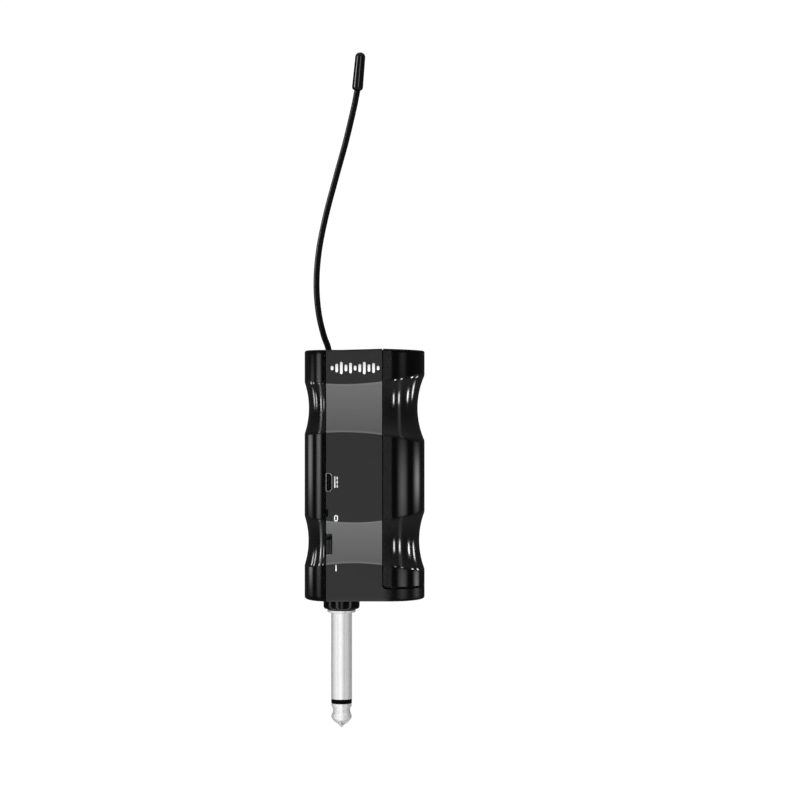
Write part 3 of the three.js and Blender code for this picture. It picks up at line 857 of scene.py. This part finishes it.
# ---------------------------------------------------------------- antenna
# The whip's centreline, the same points as the CAD source has
ANTENNA_ROUTE = [
    (-3.85, 78.75), (-4.2, 80.2), (-5.25, 83), (-6.85, 89.8), (-7.55, 98.5), (-6.9, 108.2),
    (-4.9, 118.7), (-1.75, 130.7), (1.25, 141.6), (3.86, 152.6), (4.75, 157.2),
]
CAP_BOTTOM = (4.7, 156.9)
CAP_TOP = (5.75, 168.6)
ROOT_DEPTH = 2.2
PART_AT = 14


def centripetal(points, steps):
    """A smooth centreline through the points, by centripetal Catmull-Rom pieces."""
    ends = [points[0] * 2 - points[1], *points, points[-1] * 2 - points[-2]]
    line = []
    for p0, p1, p2, p3 in zip(ends, ends[1:], ends[2:], ends[3:]):
        t1 = (p1 - p0).length ** 0.5
        t2 = t1 + (p2 - p1).length ** 0.5
        t3 = t2 + (p3 - p2).length ** 0.5
        for i in range(steps):
            t = t1 + (t2 - t1) * i / steps
            a1 = p0 * ((t1 - t) / t1) + p1 * (t / t1)
            a2 = p1 * ((t2 - t) / (t2 - t1)) + p2 * ((t - t1) / (t2 - t1))
            a3 = p2 * ((t3 - t) / (t3 - t2)) + p3 * ((t - t2) / (t3 - t2))
            b1 = a1 * ((t2 - t) / t2) + a2 * (t / t2)
            b2 = a2 * ((t3 - t) / (t3 - t1)) + a3 * ((t - t1) / (t3 - t1))
            line.append(b1 * ((t2 - t) / (t2 - t1)) + b2 * ((t - t1) / (t2 - t1)))
    line.append(points[-1])
    return line


def resample(line, start, stop, spacing):
    """Points along a line at even spacing, between two distances along it."""
    travelled = [0.0]
    for a, b in zip(line, line[1:]):
        travelled.append(travelled[-1] + (b - a).length)
    stop = min(stop, travelled[-1])
    count = max(2, round((stop - start) / spacing))
    made = []
    k = 0
    for s in spread(start, stop, count):
        while k < len(line) - 2 and travelled[k + 1] < s:
            k += 1
        share = (s - travelled[k]) / (travelled[k + 1] - travelled[k])
        made.append(line[k].lerp(line[k + 1], share))
    return made


def make_antenna():
    line = centripetal([Vector((x, 0, z)) for x, z in ANTENNA_ROUTE], 24)
    root = Vector((ANTENNA_X, 0, BODY_TOP - ROOT_DEPTH))
    line = [root, *line]
    part = PART_AT + ROOT_DEPTH
    lower_path = resample(line, 0, part, 0.35)
    upper_path = resample(line, part, 1000, 0.5)
    lower = sweep("whip_jacket_lower", lower_path, JACKET_RADIUS, "rubber", 28)
    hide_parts("antenna_root", "antenna_jacket_lower", "antenna_core_lower")
    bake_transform(lower)
    upper = sweep("whip_jacket_upper", upper_path, JACKET_RADIUS, "rubber", 28)
    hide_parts("antenna_jacket_upper", "antenna_core_upper")
    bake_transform(upper)
    make_antenna_cap()
    profile = [
        (1.08, 76.4), (2.6, 76.4), (2.6, 76.9), (1.75, 76.9), (1.75, BODY_TOP - 0.02),
        (1.55, BODY_TOP + 0.2), (1.08, BODY_TOP + 0.2),
    ]
    centre = (ANTENNA_X, 0)
    made = lathe("antenna_bush", soften(profile, 0.15) + [profile[0]], "black", 64, centre)
    finished(made, "housing", ["antenna_grommet"])


def make_antenna_cap():
    """The moulded cap on the whip: a little wider at its foot, domed above."""
    bottom = Vector((CAP_BOTTOM[0], 0, CAP_BOTTOM[1]))
    top = Vector((CAP_TOP[0], 0, CAP_TOP[1]))
    length = (top - bottom).length
    foot, head = 1.66, 1.52
    profile = [(0, 0.3), (0.9, 0.3)]
    profile += [
        (foot - 0.76 * (1 - math.sin(a)), 1.2 - 0.9 * math.cos(a))
        for a in spread(0, math.pi / 2, 8)
    ]
    dome = 1.4
    profile += [
        (head - dome * (1 - math.cos(a)), length - dome * (1 - math.sin(a)))
        for a in spread(0, math.pi / 2, 12)
    ]
    profile.append((0, length))
    made = lathe("antenna_end_cap", profile, "cap", 64)
    tilt = Vector((0, 0, 1)).rotation_difference(top - bottom).to_matrix().to_4x4()
    made.data.transform(tilt)
    for vertex in made.data.vertices:
        vertex.co += bottom * MM
    finished(made, "whip_upper", ["antenna_cap"])


# ---------------------------------------------------------------- ports, switch and light
def make_port():
    """The charging port's steel rim, with its tongue inside."""
    lowest, highest = low("usb_shell"), high("usb_shell")

    def outline(inset):
        left, right = lowest.x + inset, highest.x - inset
        bottom, top = lowest.z + inset, highest.z - inset
        cut = 0.7
        return [
            (left, bottom), (right - cut, bottom), (right, bottom + cut),
            (right, top - cut), (right - cut, top), (left, top),
        ]

    made = prism("port_rim", outline(0), lowest.y, highest.y, "steel")
    hollow = prism("cutter", outline(0.14), lowest.y - 1, highest.y - 0.4, "black")
    cut_away(made, [hollow])
    round_edges(made, 0.06, 30, 2)
    finished(made, "housing", ["usb_shell"])
    tongue_low, tongue_high = low("usb_tongue"), high("usb_tongue")
    made = block("port_tongue", tongue_low, tongue_high, "black", 0.08)
    finished(made, "housing", ["usb_tongue"])


def make_switch():
    """The two-ribbed thumb piece on its neck, and the stippled plate above it."""
    front = low("switch_knob").y
    base = SLOT_BOTTOM + 0.15
    head = base + 4.2
    parts = []
    for x0, x1 in ((-4.2, -3.5), (-3.28, -2.72)):
        parts.append(block("knob_part", (x0, front, base + 0.1), (x1, front + 0.5, head - 0.1),
                           "knob", 0.08))
    made = join_all(parts, "switch_ribs")
    finished(made, "slider")
    body = [
        block("knob_part", (-4.2, front + 0.3, base), (-2.6, -10.35, head), "black", 0.08),
        block("knob_part", (-3.8, -10.4, base + 0.3), (-3.0, -8.2, base + 2.4), "black", 0.08),
    ]
    made = join_all(body, "switch_slider")
    finished(made, "slider", ["switch_knob"])
    made = block("switch_plate", (-4.2, -10.25, head + 0.35), (-2.5, -10.0, SLOT_TOP + 0.3),
                 "stipple", 0.05)
    finished(made, "housing")


def make_light():
    lowest, highest = low("led_light_pipe"), high("led_light_pipe")
    made = block("light_lens", lowest, highest, "gloss", 0.1)
    finished(made, "housing", ["led_light_pipe"])


# ---------------------------------------------------------------- printed marks
PRINT_RISE = 0.02
PRINT_THICK = 0.03


def stadium(x, z, width, height):
    """An upright rounded bar's outline."""
    steps = 8
    radius = min(width, height) / 2
    points = []
    for quarter, (sx, sz) in enumerate(((1, 1), (-1, 1), (-1, -1), (1, -1))):
        cx = x + sx * (width / 2 - radius)
        cz = z + sz * (height / 2 - radius)
        for i in range(steps + 1):
            angle = (quarter + i / steps) * math.pi / 2
            points.append((cx + radius * math.cos(angle), cz + radius * math.sin(angle)))
    return points


def print_bar(x, z, width, height):
    y = -HALF_DEPTH - PRINT_RISE
    return prism("ink_part", stadium(x, z, width, height), y, y + PRINT_THICK, "ink")


def print_ring(x, z, width, height, line):
    """An oval ring, as two outlines joined by flat faces."""
    y0 = -HALF_DEPTH - PRINT_RISE
    y1 = y0 + PRINT_THICK
    outer = stadium(x, z, width, height)
    inner = stadium(x, z, width - 2 * line, height - 2 * line)
    count = len(outer)
    points = [(px, y, pz) for y in (y0, y1) for ring in (outer, inner) for px, pz in ring]
    faces = []
    for i in range(count):
        j = (i + 1) % count
        faces.append((i, j, j + count, i + count))
        faces.append((i + 2 * count, i + 3 * count, j + 3 * count, j + 2 * count))
        faces.append((i, i + 2 * count, j + 2 * count, j))
        faces.append((i + count, j + count, j + 3 * count, i + 3 * count))
    return mesh_from("ink_part", points, faces, ["ink"])


def make_prints():
    """A sound-level mark above, and plain signs for direct current, off and on."""
    levels = [0.35, 0.7, 1.0, 0.55, 0.85, 0.4, 0.65, 1.0, 0.6, 0.8, 0.35]
    middle, pitch, width, tall = 4.35, 1.36, 0.78, 3.6
    bars = []
    for i, level in enumerate(levels):
        x = middle + (i - (len(levels) - 1) / 2) * pitch
        bars.append(print_bar(x, 73.35, width, tall * level))
    made = join_all(bars, "print_sound_levels")
    finished(made, "housing")
    x, line = -1.3, 0.3
    current = [print_bar(x - 0.35, 39.65, line, 3.4)]
    current += [print_bar(x + 0.35, 39.65 + k * 1.2, line, 0.9) for k in (-1, 0, 1)]
    finished(join_all(current, "print_direct_current"), "housing")
    off = print_ring(x, 28.95, 1.15, 1.9, line)
    off.name = "print_off"
    finished(off, "housing")
    on = print_bar(x, 14.25, 0.36, 1.9)
    on.name = "print_on"
    finished(on, "housing")


# ---------------------------------------------------------------- inside
def make_divider():
    """The wall between the board and the cell, following the inside of the housing."""
    x0, x1 = 1.2, 2.4
    z0, z1 = 11, 72
    count = 60
    points = []
    for z in spread(z0, z1, count):
        edge = HALF_DEPTH - 1.25 - sink(1.8, z)
        points += [(x, side * edge, z) for x in (x0, x1) for side in (-1, 1)]
    made = mesh_from("housing_divider", points, column_faces(count), ["inside"])
    round_edges(made, 0.15, 50)
    finished(made, "housing")


def make_cell():
    """The cell in its shrink wrap, with rolled rims and an insulating washer on top."""
    lowest, highest = low("battery_cell"), high("battery_cell")
    radius = (highest.x - lowest.x) / 2
    centre = (CELL_X, 0)
    z0, z1 = lowest.z, highest.z
    profile = [
        (0, z0 + 0.25), (radius - 1.6, z0 + 0.25), (radius - 1.5, z0), (radius, z0),
        (radius, z1 - 2.2), (radius - 0.22, z1 - 1.7), (radius, z1 - 1.2), (radius, z1),
        (radius - 1.4, z1), (radius - 1.6, z1 - 0.2), (0, z1 - 0.2),
    ]
    made = lathe("cell_in_wrap", soften(profile, 0.4), "wrap", 96, centre)
    finished(made, "housing", ["battery_cell"])
    washer = [
        (3.1, z1 - 0.15), (radius - 1.7, z1 - 0.15), (radius - 1.7, z1 + 0.02),
        (3.1, z1 + 0.02), (3.1, z1 - 0.15),
    ]
    made = lathe("cell_washer", washer, "ceramic", 64, centre)
    finished(made, "housing")


def make_spring():
    """The tapering contact spring under the cell."""
    lowest, highest = low("battery_contact_spring"), high("battery_contact_spring")
    wire = 0.3
    z0, z1 = lowest.z + wire, highest.z - wire
    turns, wide, narrow = 2.5, 3.4, 2.0
    path = []
    for t in spread(0, 1, 120):
        angle = t * turns * 2 * math.pi
        radius = wide + (narrow - wide) * t
        x = CELL_X + radius * math.cos(angle)
        path.append(Vector((x, radius * math.sin(angle), z0 + (z1 - z0) * t)))
    made = sweep("cell_spring", path, wire, "steel", 12)
    finished(made, "housing", ["battery_contact_spring"])


NODE_MATERIALS = {
    "steel": ["shell_screw_1", "shell_screw_2", "shell_screw_3", "shell_screw_4", "plug_nut",
              "battery_cell_terminal", "battery_contact_positive", "battery_contact_negative",
              "switch_frame", "radio_shield_can", "radio_crystal"],
    "brass": ["plug_tip_rod", "plug_ground_tag", "plug_tip_tag"],
    "copper": ["antenna_feed_wire"],
    "black": ["plug_inner_insulator"],
    "board": ["circuit_board"],
    "chip": ["radio_chip", "audio_converter_chip", "charger_chip", "power_inductor"],
    "ceramic": ["led_chip", "filter_capacitor_1", "filter_capacitor_2"],
    "wrap": ["audio_capacitor"],
    "red": ["lead_positive", "lead_tip"],
    "wire_black": ["lead_negative", "lead_sleeve"],
}


def dress_inner_nodes():
    """Gives each CAD node that stays its finish, with welded faces and softened edges."""
    for key, names in NODE_MATERIALS.items():
        for name in names:
            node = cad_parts[name]
            node.data.materials.clear()
            node.data.materials.append(MATERIALS[key])
            weld = node.modifiers.new("weld", "WELD")
            weld.merge_threshold = 1e-6
            add_bevel(node, 0.08, 35, 2)


# ---------------------------------------------------------------- studio
BLACK = (0, 0, 0)
WHITE = (1, 1, 1)


def glowing(name, strength):
    """A white glowing material, with its node tree and its emission node."""
    material = bpy.data.materials.new(name)
    material.use_nodes = True
    tree = material.node_tree
    tree.nodes.clear()
    emission = tree.nodes.new("ShaderNodeEmission")
    emission.inputs["Color"].default_value = (1, 1, 1, 1)
    emission.inputs["Strength"].default_value = strength
    output = tree.nodes.new("ShaderNodeOutputMaterial")
    tree.links.new(emission.outputs[0], output.inputs["Surface"])
    return material, tree, emission


def make_floor():
    """A pale floor that sweeps up into a wall all round. It glows, and only the camera sees it."""
    floor_height, radius, corner, height = -75, 1500, 500, 2200
    profile = [(0, floor_height)]
    profile += [
        (radius - corner * (1 - math.sin(a)), floor_height + corner * (1 - math.cos(a)))
        for a in spread(0, math.pi / 2, 12)
    ]
    profile += [(radius, height), (0, height)]
    sweep_mesh = lathe("studio_sweep", profile, "ink", 64)
    material, _, _ = glowing("studio_white", 1.04)
    sweep_mesh.data.materials.clear()
    sweep_mesh.data.materials.append(material)
    sweep_mesh.visible_glossy = False
    sweep_mesh.visible_diffuse = False
    sweep_mesh.visible_shadow = False


def light_card(name, focus, azimuth, distance, width, z_low, z_high, strength, edge):
    """An upright see-through light card, seen only in gloss and fading towards its edges.

    It stands at a distance from a vertical line through focus, and edge is the share of its
    width and of its height over which it fades.
    """
    angle = math.radians(azimuth)
    out = Vector((math.sin(angle), -math.cos(angle), 0))
    side = Vector((math.cos(angle), math.sin(angle), 0))
    middle = Vector(focus) + out * distance
    points = [
        middle + side * width * s / 2 + Vector((0, 0, z)) for s in (-1, 1) for z in (z_low, z_high)
    ]
    mesh = bpy.data.meshes.new(name)
    mesh.from_pydata([p * MM for p in points], [], [(0, 1, 3, 2)])
    uv = mesh.uv_layers.new(name="UVMap")
    for loop in mesh.loops:
        index = loop.vertex_index
        uv.data[loop.index].uv = (index // 2, index % 2)
    made = bpy.data.objects.new(name, mesh)
    bpy.context.scene.collection.objects.link(made)
    material, tree, emission = glowing(name, strength)
    mesh.materials.append(material)
    place = tree.nodes.new("ShaderNodeUVMap")
    parts = tree.nodes.new("ShaderNodeSeparateXYZ")
    tree.links.new(place.outputs[0], parts.inputs[0])
    fades = []
    for axis in ("X", "Y"):
        ramp = tree.nodes.new("ShaderNodeValToRGB")
        ramp.color_ramp.interpolation = "EASE"
        fill_ramp(ramp, [(0, BLACK), (edge, WHITE), (1 - edge, WHITE), (1, BLACK)])
        tree.links.new(parts.outputs[axis], ramp.inputs["Fac"])
        fades.append(ramp.outputs["Color"])
    product = tree.nodes.new("ShaderNodeMix")
    product.data_type = "RGBA"
    product.blend_type = "MULTIPLY"
    product.inputs["Factor"].default_value = 1
    tree.links.new(fades[0], product.inputs["A"])
    tree.links.new(fades[1], product.inputs["B"])
    tree.links.new(product.outputs["Result"], emission.inputs["Color"])
    clear = tree.nodes.new("ShaderNodeBsdfTransparent")
    both = tree.nodes.new("ShaderNodeAddShader")
    tree.links.new(clear.outputs[0], both.inputs[0])
    tree.links.new(emission.outputs[0], both.inputs[1])
    tree.links.new(both.outputs[0], tree.nodes["Material Output"].inputs["Surface"])
    made.visible_camera = False
    made.visible_diffuse = False
    made.visible_shadow = False
    return made


def area_light(name, place, size, power):
    """A square soft light aimed at the middle of the body, and not seen in gloss."""
    data = bpy.data.lights.new(name, "AREA")
    data.shape = "SQUARE"
    data.size = size * MM
    data.energy = power
    made = bpy.data.objects.new(name, data)
    bpy.context.scene.collection.objects.link(made)
    made.location = Vector(place) * MM
    aim = Vector((5, 0, 45)) * MM - made.location
    made.rotation_mode = "QUATERNION"
    made.rotation_quaternion = aim.to_track_quat("-Z", "Y")
    made.visible_glossy = False
    made.visible_camera = False


PLUG_AXIS = (0, 0, 0)
RIGHT_END = (19, -9, 0)
LEFT_END = (-8, -9, 0)
# Azimuth in degrees and brightness of the cards that stand round the bright metal and the tip
BRIGHT_METAL = ["plug_barrel", "port_rim"]
METAL_CARDS = [
    (-160, 0.55), (-126, 0.5), (-92, 0.7), (-64, 0.82), (-39, 0.78), (-15, 0.88), (7, 0.7),
    (29, 0.42), (52, 0.54), (78, 0.5), (110, 0.42), (150, 0.55),
]
# The same for the collar above the plug
COLLAR_CARDS = [(-78, 1.3), (-27, 1.5), (2, 0.8), (58, 1.6)]
# Cards that draw the highlights of the black pieces, each seen only by the pieces it was tuned
# for: focus, azimuth, distance, width, lowest and highest z, brightness
GRIPS = ["left_half_grips", "battery_cover_grips"]
GRIP_CARDS = [
    (RIGHT_END, 20, 175, 28, -4, 52, 6.5), (RIGHT_END, 48, 175, 28, -4, 52, 6.0),
    (RIGHT_END, 94, 175, 28, 8, 48, 9), (RIGHT_END, 119, 175, 28, 8, 48, 6),
    (LEFT_END, -28, 175, 28, 17, 75, 3.6), (LEFT_END, -63, 175, 28, 17, 75, 4.5),
    (LEFT_END, -104, 175, 28, 24, 64, 3.8), (LEFT_END, -121, 175, 28, 24, 64, 3.4),
    (LEFT_END, -60, 400, 220, -300, 400, 1.1),
    (RIGHT_END, -7, 500, 200, -400, 500, 0.3), (RIGHT_END, 50, 400, 170, -400, 500, 0.22),
]
FLATS = ["left_half", "battery_cover", "housing_strip"]
FLAT_CARDS = [
    (RIGHT_END, 48, 260, 255, 3, 52, 2.8), (RIGHT_END, 111, 260, 190, 17, 45, 3.6),
    (RIGHT_END, 48, 260, 255, -28, 0, 2.8), (RIGHT_END, 109, 260, 170, -21, -3, 3.8),
    (RIGHT_END, 48, 260, 200, 60, 110, 0.5),
    (LEFT_END, -122, 260, 190, 11, 70, 2.0), (LEFT_END, -62, 260, 250, -25, 120, 3.2),
    (LEFT_END, -120, 260, 160, -16, 10, 2.8), (LEFT_END, -62, 260, 240, -34, 10, 1.4),
    (LEFT_END, -108, 260, 160, 60, 84, 0.7),
]
WHIP = ["whip_jacket_upper", "whip_jacket_lower"]
WHIP_CARDS = [((3, 0, 0), -80, 260, 150, 20, 330, 8.0)]
CAP = ["antenna_end_cap"]
CAP_CARDS = [((5, 0, 0), -66, 260, 110, 40, 330, 7.0), ((5, 0, 0), 16, 260, 90, 40, 330, 2.0)]
NARROW_CARD = 50


def make_lights():
    """The soft lights, the cards that draw the highlights, and the dim room."""
    area_light("front_low", (-60, -620, -560), 600, 5.9)
    area_light("front_high", (80, -900, 300), 600, 0.3)
    area_light("left_soft", (-800, -100, 150), 600, 1.2)
    area_light("right_soft", (800, 100, 150), 600, 1.2)
    area_light("back_soft", (0, 800, 250), 700, 2.0)
    front = light_card("front_card", (12, 0, 0), -2, 500, 130, -300, 300, 0.45, 0.3)
    light_only(FLATS, [front])
    groups = ((GRIPS, GRIP_CARDS), (FLATS, FLAT_CARDS), (WHIP, WHIP_CARDS), (CAP, CAP_CARDS))
    for names, cards in groups:
        made = []
        for i, card in enumerate(cards):
            edge = 0.35 if card[3] < NARROW_CARD else 0.48
            made.append(light_card(f"{names[0]}_card_{i}", *card, edge))
        light_only(names, made)
    rings = (
        (BRIGHT_METAL, METAL_CARDS, 300, 150, -650, 120),
        (["plug_point"], METAL_CARDS, 310, 155, -2600, 700),
        (["plug_cuff"], COLLAR_CARDS, 300, 75, -650, 120),
    )
    for names, cards, distance, width, z0, z1 in rings:
        light_only(names, [
            light_card(f"{names[0]}_card_{azimuth}", PLUG_AXIS, azimuth, distance, width, z0, z1,
                       strength, 0.04)
            for azimuth, strength in cards
        ])
    make_sky()


def light_only(names, cards):
    """Lets only the named pieces reflect the cards."""
    receivers = bpy.data.collections.new("lit_" + names[0])
    for name in names:
        receivers.objects.link(bpy.data.objects[name])
    for card in cards:
        card.light_linking.receiver_collection = receivers


def make_sky():
    """A dim room: darkest at the height of the object, lighter above and below."""
    world = bpy.data.worlds.new("dim_room")
    world.use_nodes = True
    tree = world.node_tree
    shade = tree.nodes["Background"]
    place = tree.nodes.new("ShaderNodeTexCoord")
    parts = tree.nodes.new("ShaderNodeSeparateXYZ")
    tree.links.new(place.outputs["Generated"], parts.inputs[0])
    span = tree.nodes.new("ShaderNodeMapRange")
    span.inputs["From Min"].default_value = -1
    span.inputs["From Max"].default_value = 1
    tree.links.new(parts.outputs["Z"], span.inputs["Value"])
    ramp = tree.nodes.new("ShaderNodeValToRGB")
    levels = [
        (0, 0.16), (0.32, 0.07), (0.4, 0.045), (0.46, 0.035), (0.54, 0.035), (0.6, 0.045),
        (0.7, 0.07), (1, 0.25),
    ]
    fill_ramp(ramp, [(position, (level, level, level)) for position, level in levels])
    tree.links.new(span.outputs["Result"], ramp.inputs["Fac"])
    tree.links.new(ramp.outputs["Color"], shade.inputs["Color"])
    bpy.context.scene.world = world


make_camera()
bpy.context.scene.view_settings.view_transform = "Standard"
make_main_shell()
make_left_shell()
make_seam_lip()
make_door_lips()
make_door()
make_plug()
make_antenna()
make_port()
make_switch()
make_light()
make_prints()
make_divider()
make_cell()
make_spring()
dress_inner_nodes()
make_floor()
make_lights()
